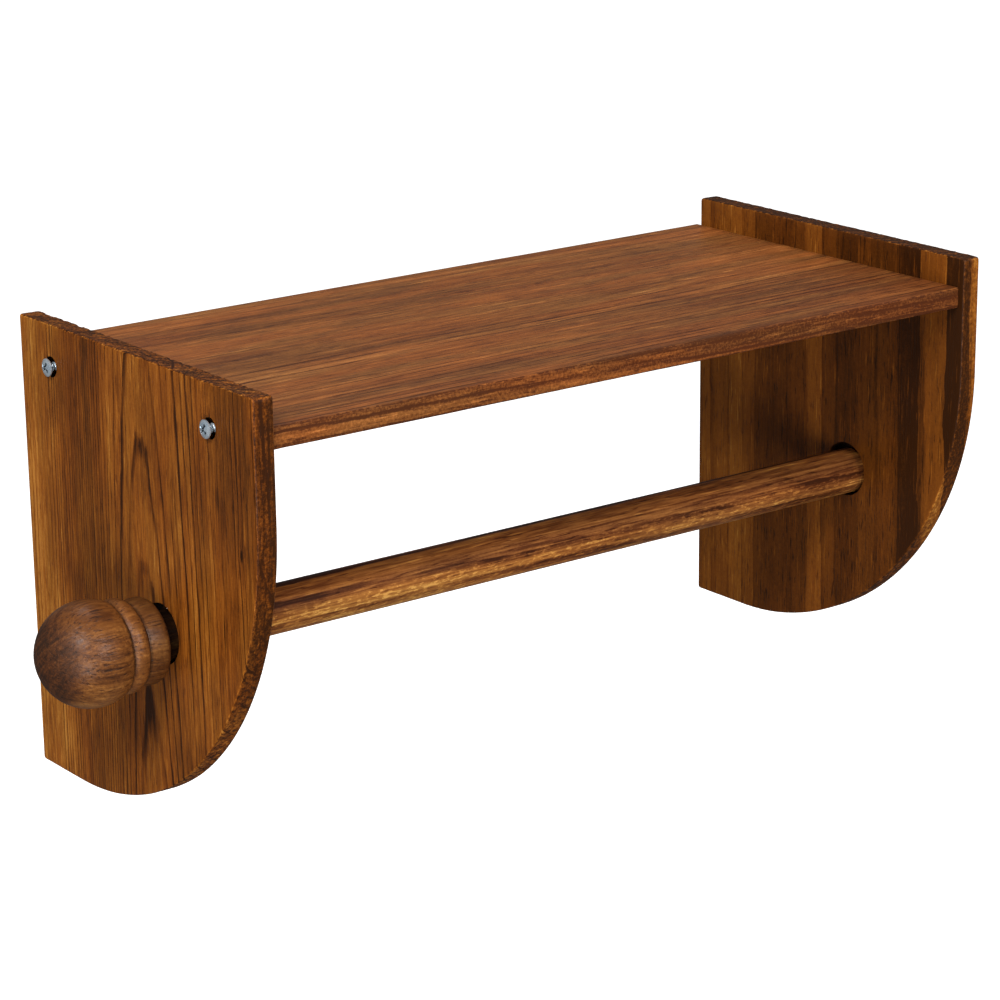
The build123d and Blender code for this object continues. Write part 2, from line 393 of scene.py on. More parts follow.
class Shader:
    """One material's nodes. Inputs are sockets, numbers or tuples."""

    def __init__(self, name):
        self.material = bpy.data.materials.new(name)
        self.material.use_nodes = True
        self.tree = self.material.node_tree
        self.tree.nodes.clear()
        self.surface = self.tree.nodes.new("ShaderNodeBsdfPrincipled")
        output = self.tree.nodes.new("ShaderNodeOutputMaterial")
        self.tree.links.new(self.surface.outputs[0], output.inputs[0])

    def put(self, socket, value):
        if isinstance(value, bpy.types.NodeSocket):
            self.tree.links.new(value, socket)
        else:
            socket.default_value = value

    def node(self, kind, values=(), **settings):
        made = self.tree.nodes.new("ShaderNode" + kind)
        for key, value in settings.items():
            setattr(made, key, value)
        for key, value in dict(values).items():
            self.put(made.inputs[key], value)
        return made

    def finish(self, **values):
        for key, value in values.items():
            self.put(self.surface.inputs[key.replace("_", " ")], value)
        return self.material

    def math(self, operation, *values):
        return self.node("Math", enumerate(values), operation=operation).outputs[0]

    def add(self, *values):
        total = values[0]
        for value in values[1:]:
            total = self.math("ADD", total, value)
        return total

    def times(self, a, b):
        return self.math("MULTIPLY", a, b)

    def vector(self, operation, *values):
        return self.node("VectorMath", enumerate(values), operation=operation).outputs[0]

    def join(self, x, y, z):
        return self.node("CombineXYZ", enumerate((x, y, z))).outputs[0]

    def split(self, vector):
        return list(self.node("SeparateXYZ", {0: vector}).outputs)

    def noise(self, vector, scale, detail=2.0, rough=0.5, twist=0.0, output=0):
        """Noise of a vector first multiplied by scale, (x, y, z)."""
        stretched = self.vector("MULTIPLY", vector, scale)
        values = {"Vector": stretched, "Scale": 1.0, "Detail": detail, "Roughness": rough,
                  "Distortion": twist}
        return self.node("TexNoise", values).outputs[output]

    def centred(self, value, amount):
        """A 0 to 1 value as one about zero, from -amount/2 to amount/2."""
        return self.math("MULTIPLY_ADD", value, amount, -amount / 2)

    def between(self, value, low, high, to_low=0.0, to_high=1.0):
        """Smooth step of a value from low..high to to_low..to_high."""
        values = dict(enumerate((value, low, high, to_low, to_high)))
        return self.node("MapRange", values, interpolation_type="SMOOTHSTEP").outputs[0]

    def ramp(self, value, stops):
        """Colours or grey levels at positions 0 to 1, straight between them."""
        made = self.node("ValToRGB", {0: value})
        elements = made.color_ramp.elements
        while len(elements) < len(stops):
            elements.new(1.0)
        for element, (position, colour) in zip(elements, stops):
            element.position = position
            element.color = colour if isinstance(colour, tuple) else (colour,) * 3 + (1.0,)
        return made.outputs[0]

    def mix(self, share, a, b, blend="MIX"):
        values = {0: share, 6: a, 7: b}
        return self.node("Mix", values, data_type="RGBA", blend_type=blend).outputs[2]

    def bump(self, height, distance, strength):
        values = {"Height": height, "Distance": distance, "Strength": strength}
        return self.node("Bump", values).outputs[0]


# ---------------------------------------------------------------- wood

PANEL_TONES = ((50, 25, 7), (86, 45, 11), (118, 65, 18), (147, 88, 28), (184, 125, 53))
KNOT_AND_SHADE_DARK = (16, 8, 4)          # knots and cracks, and painted shade inside holes, in the knob's grooves and on the rod behind the knob
WARM_TINT = (1.2, 0.84, 0.66, 1.0)
WOOD_BUMP = 0.00018         # in metres
ZINC_BUMP = 0.00003

# How fast each part of the figure changes, per millimetre, across, through and along the wood
GRAIN = {
    "bend": (1 / 55, 1 / 55, 1 / 190),
    "mark": (0.9, 0.9, 0.2),
    "wobble": (1 / 3, 1 / 3, 1 / 30),
    "fade": (1 / 7, 1 / 7, 1 / 60),
    "band": (1 / 22, 1 / 22, 1 / 300),
    "streak": (1 / 2.2, 1 / 2.2, 1 / 130),
    "fibre": (1 / 1.1, 1 / 1.1, 1 / 16),
    "pore": (1.3, 1.3, 0.12),
    "gleam": (0.9, 0.9, 1 / 20),
    "cloud": (1 / 26, 1 / 26, 1 / 50),
    "fleck": (0.75, 0.75, 0.2),
    "warm": (1 / 12, 1 / 12, 1 / 90),
    "saw": (0.45, 0.1, 0.1),
    "chips": (0.35, 0.35, 0.35),
    "speckle": (0.8, 0.8, 0.8),
    "uneven": (1 / 11, 1.0, 1.0),   # of the rings' radius
}

WOOD = {
    "spacing": 3.0,         # between growth rings
    "slope": 0.02,          # of the pith against the board
    "warp": 5.0,            # how far the rings wander
    "crowd": (0.0, 1.0, 0), # extra rings squeezed in: from, to, count
    "late": 0.72,           # where in a ring the dark late wood starts
    "zones": (),            # sapwood, painted light and painted sheen, see wood()
    "base": 0.5,
    "line": 0.75,
    "luck": 0.2,
    "band": 0.6,
    "streak": 0.35,
    "fibre": 0.4,
    "cloud": 0.4,
    "gleam": 0.3,
    "pore": 0.25,
    "warm": 0.3,
    "edge": 0.0,            # the narrow edges' tone against the faces'
    "wear": 0.25,           # the arrises' tone
    "end": 0.0,             # the end grain's tone
    "open": 1.0,            # how mottled the end grain is
    "grit": 1.3,            # how speckled the narrow edges are
    "shine": 0.1,
    "rough": 0.42,
}


def wood(name, grain, pith, tones, marks=(), bored=(), seed=0.0, **figure):
    """Stained wood cut from one log. grain names the part's axes along the grain, across the
    board and through it; pith is the rings' centre (across, through), in millimetres. tones are
    the stain's colours from dark to light, and figure changes WOOD's values. marks are knots,
    cracks and darker bands, the ones in the knob's grooves and on the rod behind the knob being
    painted shade: (across, along, half width, half length, darkness, bend of the rings). bored
    are holes, with shade painted inside: (across, along, radius, low, high), the last two through
    the board. zones change the wood from one level to another of across * a + through * b, for
    sapwood and for painted light and sheen, given as (a, b, from, to, change of tone, share of
    ring lines left, slanting ray flecks)."""
    look = {**WOOD, **figure}
    s = Shader(name)
    spot = s.vector("SCALE", s.node("TexCoord").outputs["Object"])
    spot.node.inputs["Scale"].default_value = 1 / MM
    axes = dict(zip("xyz", s.split(spot)))
    along, across, through = (axes[letter] for letter in grain)
    facing = dict(zip("xyz", s.split(s.node("TexCoord").outputs["Normal"])))
    facing = [s.math("ABSOLUTE", facing[letter]) for letter in grain]
    fibres = s.join(s.add(across, seed), s.add(through, seed * 0.7), along)

    # Growth rings about the pith, bent by knots and by a slow warp
    bend = s.noise(fibres, GRAIN["bend"], 2.0, 0.5, output=1)
    bend_across, bend_through, _ = s.split(bend)
    ring_across = s.add(s.math("SUBTRACT", across, pith[0]), s.centred(bend_across, look["warp"]))
    ring_through = s.add(s.math("SUBTRACT", through, pith[1]), s.times(along, look["slope"]),
                         s.centred(bend_through, look["warp"]))
    spots = 0.0
    # Marks: knots and cracks, and bands of painted shade, all gathered in spots
    for mark_across, mark_along, wide, tall, darkness, push in marks:
        off = s.join(s.times(s.math("SUBTRACT", across, mark_across), 1 / wide),
                     s.times(s.math("SUBTRACT", along, mark_along), 1 / tall), 0.0)
        reach = s.node("VectorMath", {0: off}, operation="LENGTH").outputs["Value"]
        reach = s.add(reach, s.centred(s.noise(fibres, GRAIN["mark"], 2.0), 0.5))
        spots = s.add(spots, s.between(reach, 1.0, 0.35, 0.0, darkness))
        if push:
            ring_through = s.add(ring_through, s.between(reach, 5.0, 0.0, 0.0, push))
    radius = s.node("VectorMath", {0: s.join(ring_across, ring_through, 0.0)},
                    operation="LENGTH").outputs["Value"]
    wobble = s.noise(fibres, GRAIN["wobble"], 2.0)
    uneven = s.noise(s.join(radius, seed, 0.0), GRAIN["uneven"], 2.0)
    rings = s.add(s.times(radius, 1 / look["spacing"]), s.centred(uneven, 2.0),
                  s.centred(wobble, 0.4), s.between(across, *look["crowd"][:2], 0.0,
                                                    look["crowd"][2]))
    phase = s.math("FRACT", rings)
    luck = s.node("TexWhiteNoise", {"W": s.math("FLOOR", rings)},
                  noise_dimensions="1D").outputs["Value"]
    line = s.ramp(phase, [(0.0, 0.25), (0.06, 0.0), (look["late"], 0.0), (0.93, 1.0), (1.0, 0.6)])
    fade = s.between(s.noise(fibres, GRAIN["fade"], 2.0), 0.35, 0.62, 0.25, 1.0)
    line = s.times(s.times(line, s.between(luck, 0.0, 0.9, 0.15, 1.0)), fade)

    # Broad bands, streaks, fibres and pores, all drawn out along the grain
    band = s.noise(fibres, GRAIN["band"], 2.0, 0.6)
    streak = s.between(s.noise(fibres, GRAIN["streak"], 3.0, 0.7), 0.34, 0.66)
    fibre = s.between(s.noise(fibres, GRAIN["fibre"], 2.0, 0.6), 0.32, 0.68)
    pore = s.between(s.noise(fibres, GRAIN["pore"], 1.0), 0.6, 0.7)
    gleam = s.between(s.noise(fibres, GRAIN["gleam"], 2.0, 0.6, twist=0.3), 0.57, 0.72)
    cloud = s.noise(fibres, GRAIN["cloud"], 3.0, 0.6)
    slanted = s.join(s.add(across, s.times(along, 0.3)), through, along)
    fleck = s.between(s.noise(slanted, GRAIN["fleck"], 2.0, 0.6), 0.5, 0.66)

    # Zones: sapwood bands, and painted light and sheen on one side of a piece
    lift = 0.0
    for zone_across, zone_through, low, high, change, lines, flecks in look["zones"]:
        level = s.add(s.times(across, zone_across), s.times(through, zone_through),
                      s.centred(wobble, 5.0))
        inside = s.between(level, low, high)
        line = s.times(line, s.between(inside, 0.0, 1.0, 1.0, lines))
        lift = s.add(lift, s.times(inside, s.add(change, s.times(fleck, flecks))))

    side = s.between(facing[1], 0.5, 0.9)
    end = s.between(facing[0], 0.45, 0.85)
    flattest = s.math("MAXIMUM", s.math("MAXIMUM", facing[0], facing[1]), facing[2])
    chips = s.noise(spot, GRAIN["chips"], 3.0, 0.7)
    arris = s.times(s.between(flattest, 0.97, 0.82), s.between(chips, 0.45, 0.58))
    speckle = s.noise(spot, GRAIN["speckle"], 3.0, 0.7)

    tone = s.add(
        look["base"],
        lift,
        s.centred(band, look["band"]),
        s.centred(streak, look["streak"]),
        s.centred(fibre, look["fibre"]),
        s.centred(cloud, look["cloud"]),
        s.centred(luck, look["luck"]),
        s.times(gleam, look["gleam"]),
        s.times(line, -look["line"]),
        s.times(pore, -look["pore"]),
        s.times(side, look["edge"]),
        s.times(s.centred(speckle, look["grit"]), s.math("MAXIMUM", side, 0.25)),
        s.times(arris, look["wear"]),
    )

    # End grain: darker, open and mottled, where the surface cuts across the fibres
    saw = s.noise(s.join(s.add(across, through), through, along), GRAIN["saw"], 3.0, 0.6,
                  twist=0.5)
    end_tone = s.add(look["base"] - 0.12 + look["end"], s.centred(speckle, 2.2 * look["open"]),
                     s.centred(saw, 1.8 * look["open"]), s.times(line, -0.7 * look["line"]),
                     s.times(arris, 2 * look["wear"]))
    tone = s.add(s.times(tone, s.math("SUBTRACT", 1.0, end)), s.times(end_tone, end))
    count = len(tones) - 1
    stops = [(index / count, tint(*colour)) for index, colour in enumerate(tones)]
    colour = s.ramp(tone, stops)
    warm = s.between(s.noise(fibres, GRAIN["warm"], 2.0, 0.5), 0.35, 0.65)
    colour = s.mix(s.times(warm, look["warm"]), colour, WARM_TINT, "MULTIPLY")

    # Painted shade: the inside of each hole is darkened as if in shadow
    for hole_across, hole_along, hole_radius, low, high in bored:
        off = s.join(s.math("SUBTRACT", across, hole_across),
                     s.math("SUBTRACT", along, hole_along), 0.0)
        reach = s.node("VectorMath", {0: off}, operation="LENGTH").outputs["Value"]
        depth = s.math("ABSOLUTE", s.math("SUBTRACT", through, (low + high) / 2))
        inside = s.between(depth, (high - low) / 2 + 0.3, (high - low) / 2, 0.0, 0.9)
        dark = s.times(inside, s.between(reach, hole_radius + 0.35, hole_radius - 0.1))
        spots = s.add(spots, dark)
    # Knots, cracks and painted shade all darken towards one dark colour
    if marks or bored:
        colour = s.mix(s.math("MINIMUM", spots, 1.0), colour, tint(*KNOT_AND_SHADE_DARK))

    relief = s.add(s.times(line, -0.5), s.times(fibre, 0.4), s.times(pore, -0.6),
                   s.times(streak, 0.25), s.times(s.times(speckle, end), 1.6))
    rough = s.add(look["rough"], s.times(line, 0.1), s.centred(cloud, 0.14),
                  s.centred(fibre, 0.1), s.times(end, 0.2))
    return s.finish(Base_Color=colour, Roughness=rough, Specular_IOR_Level=look["shine"],
                    Normal=s.bump(relief, WOOD_BUMP, 0.6))


def zinc(name):
    """Bright zinc-plated steel with a bluish tarnish, fine scratches and painted shade in its own
    recesses.
    """
    s = Shader(name)
    spot = s.vector("SCALE", s.node("TexCoord").outputs["Object"])
    spot.node.inputs["Scale"].default_value = 1 / MM
    cloud = s.noise(spot, (0.5, 0.5, 0.5), 3.0, 0.6)
    grain = s.noise(spot, (6.0, 6.0, 6.0), 2.0, 0.6)
    scratch = s.noise(spot, (9.0, 0.6, 2.0), 3.0, 0.7)
    dirt = s.between(s.noise(spot, (1.4, 1.4, 1.4), 3.0, 0.7), 0.55, 0.75)
    colour = s.ramp(cloud, [(0.25, tint(168, 188, 206)), (0.5, tint(196, 210, 220)),
                            (0.8, tint(224, 230, 234))])
    colour = s.mix(s.times(dirt, 0.3), colour, tint(96, 102, 106))
    # Painted shade: darker where ambient occlusion finds the part's own recesses, such as the cross
    # and under the head
    recess_shade = s.node("AmbientOcclusion", {"Distance": 1.2 * MM}, only_local=True, samples=8)
    colour = s.mix(s.between(recess_shade.outputs["AO"], 0.92, 0.45), colour, tint(30, 34, 40))
    rough = s.add(0.2, s.times(grain, 0.16), s.times(dirt, 0.22))
    height = s.add(s.times(grain, 0.4), s.times(scratch, 0.5))
    return s.finish(Base_Color=colour, Roughness=rough, Metallic=0.7,
                    Normal=s.bump(height, ZINC_BUMP, 0.4))


# ---------------------------------------------------------------- side panels


def panel_material(side, bored):
    """The near panel is flat-sawn, with arches; the far one shows broad straight bands."""
    if side == "left":
        return wood(
            "wood_panel_left", "zyx", (-98.0, panel_low.x - 29.08), PANEL_TONES,
            marks=((-157.2, -58.0, 0.5, 12.0, 1.0, 0.0), (-171.5, -22.0, 1.4, 4.0, 0.9, 3.0),
                   (-155.5, -3.0, 1.8, 7.0, 0.5, 2.0)),
            bored=bored, slope=0.05, warp=2.5, spacing=3.0, crowd=(-80.0, -22.0, 12),
            zones=((1.0, 0.0, -32.0, -10.0, 0.27, 0.5, 0.0),
                   (-1.0, 0.0, 112.0, 150.0, -0.08, 0.6, 0.0)),
            base=0.56, line=1.2, luck=0.15, band=0.9, streak=0.15, fibre=0.2, cloud=0.7, gleam=0.2,
            pore=0.2, warm=0.25, edge=-0.32, end=-0.18,
        )
    return wood(
        "wood_panel_right", "zyx", (-260.0, 330.0), PANEL_TONES, bored=bored, seed=37.0,
        spacing=9.0, band=0.38, luck=0.6, line=0.35, streak=0.06, fibre=0.04, warm=0.1, base=0.4,
        edge=0.2, end=-0.25,
        # Zones: darker towards the front, and lighter towards the rear, which is painted light
        # where light reaches the inner face under the shelf
        zones=((-1.0, 0.0, 135.0, 160.0, -0.2, 1.0, 0.0),
               (1.0, 0.0, -75.0, -30.0, 0.15, 1.0, 0.0)),
    )


def panel_relief(side, holes):
    """Planed faces with a slow wave, a ragged sawn top and a hand-sanded arc."""
    high = panel_boxes[side][1]
    tearing = {"left": 0.8, "right": 0.2}[side]

    def depth(point, normal):
        if any((point.yz - hole.spot).length < hole.radius + HOLE_ROUND for hole in holes):
            return 0.0
        wave = 0.5 + 0.5 * noise.noise(point / 34)
        flat = abs(normal.x)
        rough = 0.5 + 0.5 * noise.turbulence(point / 3.0, 3, False)
        facets = 0.5 + 0.5 * noise.noise(point / 17)
        top = max(0.0, 1 - (high.z - point.z) / 2.0)
        torn = max(0.0, noise.noise(Vector((point.x / 6, point.y / 2.2, 3.0))))
        return (0.08 * wave * flat + (1 - flat) * (0.16 * facets + 0.05 * rough)
                + top * (0.3 * max(0.0, rough - 0.3) + tearing * torn))

    return depth


def side_panel(side):
    """A board with one large rounded corner, its rod hole and its counterbored screw holes."""
    low, high = panel_boxes[side]
    outline = rounded_loop([
        (low.y, low.z, CORNER_RADIUS),
        (high.y, low.z, CORNER_EASE),
        (high.y, high.z, CORNER_EASE),
        (low.y, high.z, CORNER_EASE),
    ], OUTLINE_STEP)
    board = high.x - low.x
    rod_hole_depth = {"left": board, "right": BLIND_HOLE_DEPTH}[side]
    outer_face = {"left": 0, "right": 1}[side]
    holes = [Hole(low.y + ROD_HOLE_FROM_FRONT, low.z + ROD_HOLE_RISE, ROD_HOLE_RADIUS,
                  rod_hole_depth)]
    for row in ("front", "rear"):
        screw_low, screw_high = box(f"shelf_screw_{side}_{row}")
        middle = (screw_low.y + screw_high.y) / 2
        holes.append(Hole(middle, shelf_middle, COUNTERBORE_RADIUS, COUNTERBORE_DEPTH,
                          SCREW_HOLE_RADIUS, outer_face))
    points, faces = slab(outline, holes, board, PANEL_WAIST, GRID_STEP)
    placed = [(low.x + depth, across, up) for across, up, depth in points]
    # Each hole's span through the board, for the shade painted inside it
    bored = []
    for hole in holes:
        start = high.x - hole.depth if hole.face else low.x
        bored.append((*hole.spot, hole.radius, start - 0.2, start + hole.depth + 0.2))
    make_piece(f"panel_{side}", placed, faces, "frame", [f"side_panel_{side}"],
               panel_material(side, bored), panel_relief(side, holes))


# ---------------------------------------------------------------- shelf


def shelf():
    """The board between the panels, a slab whose outline is its cross-section."""
    outline = rounded_loop([
        (shelf_low.y, shelf_low.z, EDGE_ROUND),
        (shelf_high.y, shelf_low.z, EDGE_ROUND),
        (shelf_high.y, shelf_high.z, EDGE_ROUND),
        (shelf_low.y, shelf_high.z, EDGE_ROUND),
    ], SHELF_STEP)
    points, faces = slab(outline, [], shelf_high.x - shelf_low.x, SHELF_WAIST, SHELF_STEP,
                         rounding=SHELF_END_ROUND)
    placed = [(shelf_low.x + depth, across, up) for across, up, depth in points]

    def depth(point, normal):
        wave = 0.5 + 0.5 * noise.noise(point / 40)
        fray = 0.5 + 0.5 * noise.turbulence(Vector((point.x / 9, point.y / 2, point.z / 2)), 3,
                                            False)
        front = max(0.0, 1 - (point.y - shelf_low.y) / 2.5)
        ends = min(1.0, min(point.x - shelf_low.x, shelf_high.x - point.x) / 6)
        return max(0.0, ends) * (0.1 * wave + 0.16 * front * fray)

    material = wood(
        "wood_shelf", "xyz", (-60.0, -70.0),
        ((72, 38, 18), (102, 59, 28), (130, 80, 38), (156, 98, 48), (188, 128, 70)),
        seed=11.0, spacing=3.0, slope=0.012, wear=-0.5, warm=0.5, edge=-0.15, streak=0.2, fibre=0.2,
        # Zones: lighter with fainter rings towards the back, which is painted sheen, and darker
        # along the front
        zones=((1.0, 0.0, -130.0, -70.0, 0.04, 0.35, 0.0),
               (-1.0, 0.0, 140.0, 165.0, -0.08, 1.0, 0.0)),
        base=0.46,
    )
    make_piece("shelf_board", placed, faces, "frame", ["shelf"], material, depth)


# ---------------------------------------------------------------- rod and knob


def rod():
    """The dowel, with a round at its free end and a band of painted shade behind the knob."""
    tip = ROD_TIP_ROUND
    steps = round((rod_high.x - rod_low.x - tip) / ROD_STEP)
    profile = [(rod_low.x, 0.0), (rod_low.x, rod_radius - ROD_BACK_ROUND)]
    for step in range(steps + 1):
        reach = rod_high.x - tip - ROD_TIP_MARGIN - rod_low.x
        profile.append((rod_low.x + ROD_BACK_ROUND + reach * step / steps, rod_radius))
    profile += arc((rod_high.x - tip, rod_radius - tip), tip, 90, 0, 5)
    profile.append((rod_high.x, 0.0))
    points, faces = turned(profile, ROD_SEGMENTS, lambda x, a, b: (x, rod_y + a, rod_z + b))

    def depth(point, normal):
        round_off = noise.noise(Vector((point.x / 90, (point.y - rod_y) / 6,
                                        (point.z - rod_z) / 6)))
        return 0.03 + 0.03 * round_off

    material = wood(
        "wood_rod", "xyz", (rod_y + 16.0, rod_z - 22.0),
        ((56, 28, 12), (96, 54, 26), (132, 82, 40), (164, 110, 52), (204, 152, 78)),
        # The mark is painted shade: a dark band on the rod's neck, where the collar and the hole
        # shade it
        marks=((rod_y, rod_low.x + 20.0, 1000.0, 15.0, 0.95, 0.0),), seed=53.0, spacing=5.2,
        # The zone lightens the rod's lower front with ray flecks: sapwood, and painted light where
        # the front lamp falls
        slope=0.004, warp=3.0, zones=((-0.5, -0.87, 117.5, 121.5, 0.1, 0.5, 0.3),), late=0.4,
        base=0.43, line=1.0, fibre=0.25, streak=0.3, wear=0.0, grit=0.3,
    )
    make_piece("rod_dowel", points, faces, "rod", ["rod"], material, depth)


def knob():
    """The turned knob: a bored collar, a bead and a ball, profiled from its back outwards."""
    ball = COLLAR_LENGTH + BEAD_LENGTH
    centre = ball + BALL_CUT
    cut = math.degrees(math.asin(BALL_CUT / BALL_RADIUS))
    collar_tangent = (COLLAR_RADIUS - COLLAR_BACK_RADIUS, COLLAR_CREST)
    back_radius = (collar_tangent[0] ** 2 + collar_tangent[1] ** 2) / (2 * collar_tangent[0])
    rise = COLLAR_LENGTH - COLLAR_CREST
    drop = COLLAR_RADIUS - GROOVE_RADIUS
    front_radius = (rise ** 2 + drop ** 2) / (2 * drop)
    profile = [(BORE_DEPTH, 0.0), (BORE_DEPTH, BORE_RADIUS), (SOCKET_DEPTH, BORE_RADIUS),
               (SOCKET_DEPTH, rod_radius), (SOCKET_ROUND, rod_radius),
               (0.0, rod_radius + SOCKET_ROUND), (0.0, COLLAR_BACK_RADIUS - COLLAR_BACK_ROUND)]
    start = 90 + math.degrees(math.asin(COLLAR_CREST / back_radius))
    profile += arc((COLLAR_CREST, COLLAR_RADIUS - back_radius), back_radius, start, 90, 9)
    end = 90 - math.degrees(math.asin(rise / front_radius))
    profile += arc((COLLAR_CREST, COLLAR_RADIUS - front_radius), front_radius, 90, end, 12)[1:]
    profile += arc_through((COLLAR_LENGTH, GROOVE_RADIUS),
                           (COLLAR_LENGTH + BEAD_LENGTH / 2, BEAD_RADIUS),
                           (ball, GROOVE_RADIUS), 16)[1:]
    profile += arc((centre, 0.0), BALL_RADIUS, 90 + cut, 0, 64)
    profile[-1] = (centre + BALL_RADIUS, 0.0)
    back = knob_high.x
    points, faces = turned(profile, KNOB_SEGMENTS,
                           lambda x, a, b: (back - x, rod_y + a, rod_z + b))

    def depth(point, normal):
        uneven = noise.noise(Vector(point) / 11)
        return 0.08 + 0.08 * uneven

    material = wood(
        "wood_knob", "xyz", (rod_y - 30.0, rod_z + 26.0),
        ((44, 24, 11), (78, 43, 18), (114, 69, 30), (150, 99, 47), (190, 136, 73)),
        # The marks: a darker band over the collar, and painted shade in the grooves on either side
        # of the bead
        marks=((rod_y, knob_high.x - 3.0, 1000.0, 11.0, 0.4, 0.0),
               (rod_y, knob_high.x - COLLAR_LENGTH, 1000.0, 1.2, 0.4, 0.0),
               (rod_y, knob_high.x - COLLAR_LENGTH - BEAD_LENGTH, 1000.0, 1.3, 0.6, 0.0)),
        seed=71.0, spacing=4.5, slope=0.1, warp=12.0, line=0.2, cloud=0.6, streak=0.1, fibre=0.14,
        gleam=0.12, warm=0.15, base=0.46, shine=0.25, wear=0.0, end=-0.2, open=0.4, grit=0.6,
    )
    make_piece("knob_turned", points, faces, "rod", ["knob"], material, depth)


# ---------------------------------------------------------------- screws

SHANK_SEGMENTS = 24
THREAD_ROWS = 8             # rings to each turn of the thread
THREAD_HALF_WIDTH = 0.28    # of the pitch
TAPER = 2.5                 # the point's length in crest radii
POINT_CORE = 0.08           # the core's share left at the point
POINT_THREAD = 0.1          # and the thread's
HEAD_SEGMENTS = 48
HEAD_EDGE = 0.35            # the straight rim's share of the head's height
HEAD_RINGS = (1.0, 0.97, 0.88, 0.74)        # shares of the head's radius
HEAD_SEAT = ((0.12, 1.0), (0.0, 0.97))      # (height, share of the radius) under the rim
RECESS_REACH = 0.66         # the cross's half length and half width in head radii
RECESS_HALF_WIDTH = 0.17
RECESS_DEPTH = 0.75         # of the head's height
RECESS_FLOOR = (0.55, 0.6)  # the floor's share of the reach and of the half width


def shank(length, size, place):
    """A wood screw's shank with a true helical thread. place puts (depth, side, up)."""
    crest, core, pitch = size["crest"], size["core"], size["pitch"]
    segments = SHANK_SEGMENTS
    count = math.ceil(length / pitch * THREAD_ROWS)
    taper = TAPER * crest
    points, faces = [], []
    for row in range(count + 1):
        depth = length * row / count
        left = length - depth
        body = core * min(1.0, left / taper + POINT_CORE)
        height = (crest - core) * min(1.0, left / taper + POINT_THREAD) * min(1.0, depth / pitch)
        for segment in range(segments):
            turn = segment / segments
            phase = (depth / pitch - turn) % 1.0
            ridge = max(0.0, 1 - abs(phase - 0.5) / THREAD_HALF_WIDTH)
            radius = body + height * ridge
            angle = 2 * math.pi * turn
            points.append(place(depth, radius * math.cos(angle), radius * math.sin(angle)))
    for row in range(count):
        for segment in range(segments):
            a = row * segments + segment
            b = row * segments + (segment + 1) % segments
            faces.append((a, b, b + segments, a + segments))
    tip = len(points)
    points.append(place(length, 0, 0))
    last = count * segments
    for segment in range(segments):
        faces.append((last + segment, last + (segment + 1) % segments, tip))
    points.append(place(0.0, 0, 0))
    for segment in range(segments):
        faces.append(((segment + 1) % segments, segment, tip + 1))
    return points, faces


def pan_head(size, place):
    """A pan head with a tapered cross recess. place puts (height, side, up)."""
    radius, height = size["head_radius"], size["head_height"]
    segments = HEAD_SEGMENTS
    edge = HEAD_EDGE * height
    dome_radius = (radius ** 2 + (height - edge) ** 2) / (2 * (height - edge))

    def dome(reach):
        return height - dome_radius + math.sqrt(dome_radius ** 2 - reach ** 2)

    long, wide, deep = RECESS_REACH * radius, RECESS_HALF_WIDTH * radius, RECESS_DEPTH * height
    flat, edges, heights = [], [], []

    def ring(points, level):
        first = len(flat)
        for index, point in enumerate(points):
            flat.append(point)
            edges.append((first + index, first + (index + 1) % len(points)))
            heights.append(level if level is not None else dome(point.length))

    def cross(reach, half):
        corners = []
        for quarter in range(4):
            turn = Matrix.Rotation(math.pi / 2 * quarter, 2)
            for x, y in ((half, -half), (reach, -half), (reach, half)):
                corners.append(turn @ Vector((x, y)))
        return corners

    for share in HEAD_RINGS:
        ring([Vector((share * radius * math.cos(2 * math.pi * k / segments),
                      share * radius * math.sin(2 * math.pi * k / segments)))
              for k in range(segments)], None)
    ring(cross(long, wide), None)
    ring(cross(long * RECESS_FLOOR[0], wide * RECESS_FLOOR[1]), height - deep)
    spots, _, triangles, origins, _, _ = geometry.delaunay_2d_cdt(flat, edges, [], 1, 1e-6)
    levels = [heights[origin[0]] if origin else 0.0 for origin in origins]
    points = [place(level, spot.x, spot.y) for spot, level in zip(spots, levels)]
    faces = [tuple(triangle) for triangle in triangles]
    rim = [origins.index([k]) if [k] in origins else k for k in range(segments)]
    seat = []
    for level, share in HEAD_SEAT:
        seat.append(list(range(len(points), len(points) + segments)))
        for k in range(segments):
            angle = 2 * math.pi * k / segments
            points.append(place(level, share * radius * math.cos(angle),
                                share * radius * math.sin(angle)))
    for upper, lower in ((rim, seat[0]), (seat[0], seat[1])):
        for k in range(segments):
            after = (k + 1) % segments
            faces.append((upper[k], upper[after], lower[after], lower[k]))
    faces.append(tuple(seat[1]))
    return points, faces


def pan_screw(node, direction, size, material):
    """A screw in place of a CAD one. direction is where its head faces along X. Each screw's
    cross stands at an angle of its own."""
    low, high = box(node)
    middle = (low + high) / 2
    head_top = high.x if direction > 0 else low.x
    seat = head_top - direction * size["head_height"]
    tip = low.x if direction > 0 else high.x
    twist = 0.4 + 0.9 * (middle.y % 1.0) + 0.5 * (direction + 1)
    cosine, sine = math.cos(twist), math.sin(twist)

    def place(height, side, up):
        return (seat + direction * height, middle.y + side * cosine - up * sine,
                middle.z + side * sine + up * cosine)

    length = abs(seat - tip)
    head_points, head_faces = pan_head(size, place)
    body_points, body_faces = shank(length, size, lambda d, a, b: place(-d, a, b))
    offset = len(head_points)
    faces = head_faces + [tuple(i + offset for i in face) for face in body_faces]
    make_piece(f"{node}_screw", head_points + body_points, faces, "frame", [node],
               material)


# ---------------------------------------------------------------- stage


FLOOR_DROP = 0.45           # metres from here on
FLOOR_FLAT = 14.0           # the flat part's radius
FLOOR_BEND = 6.0            # the radius of the curve up from it
FLOOR_TOP = 24.0
BEND_STEPS = 12
FLOOR_SEGMENTS = 64
AIM = (0, -0.1, 0)          # where all the lamps point


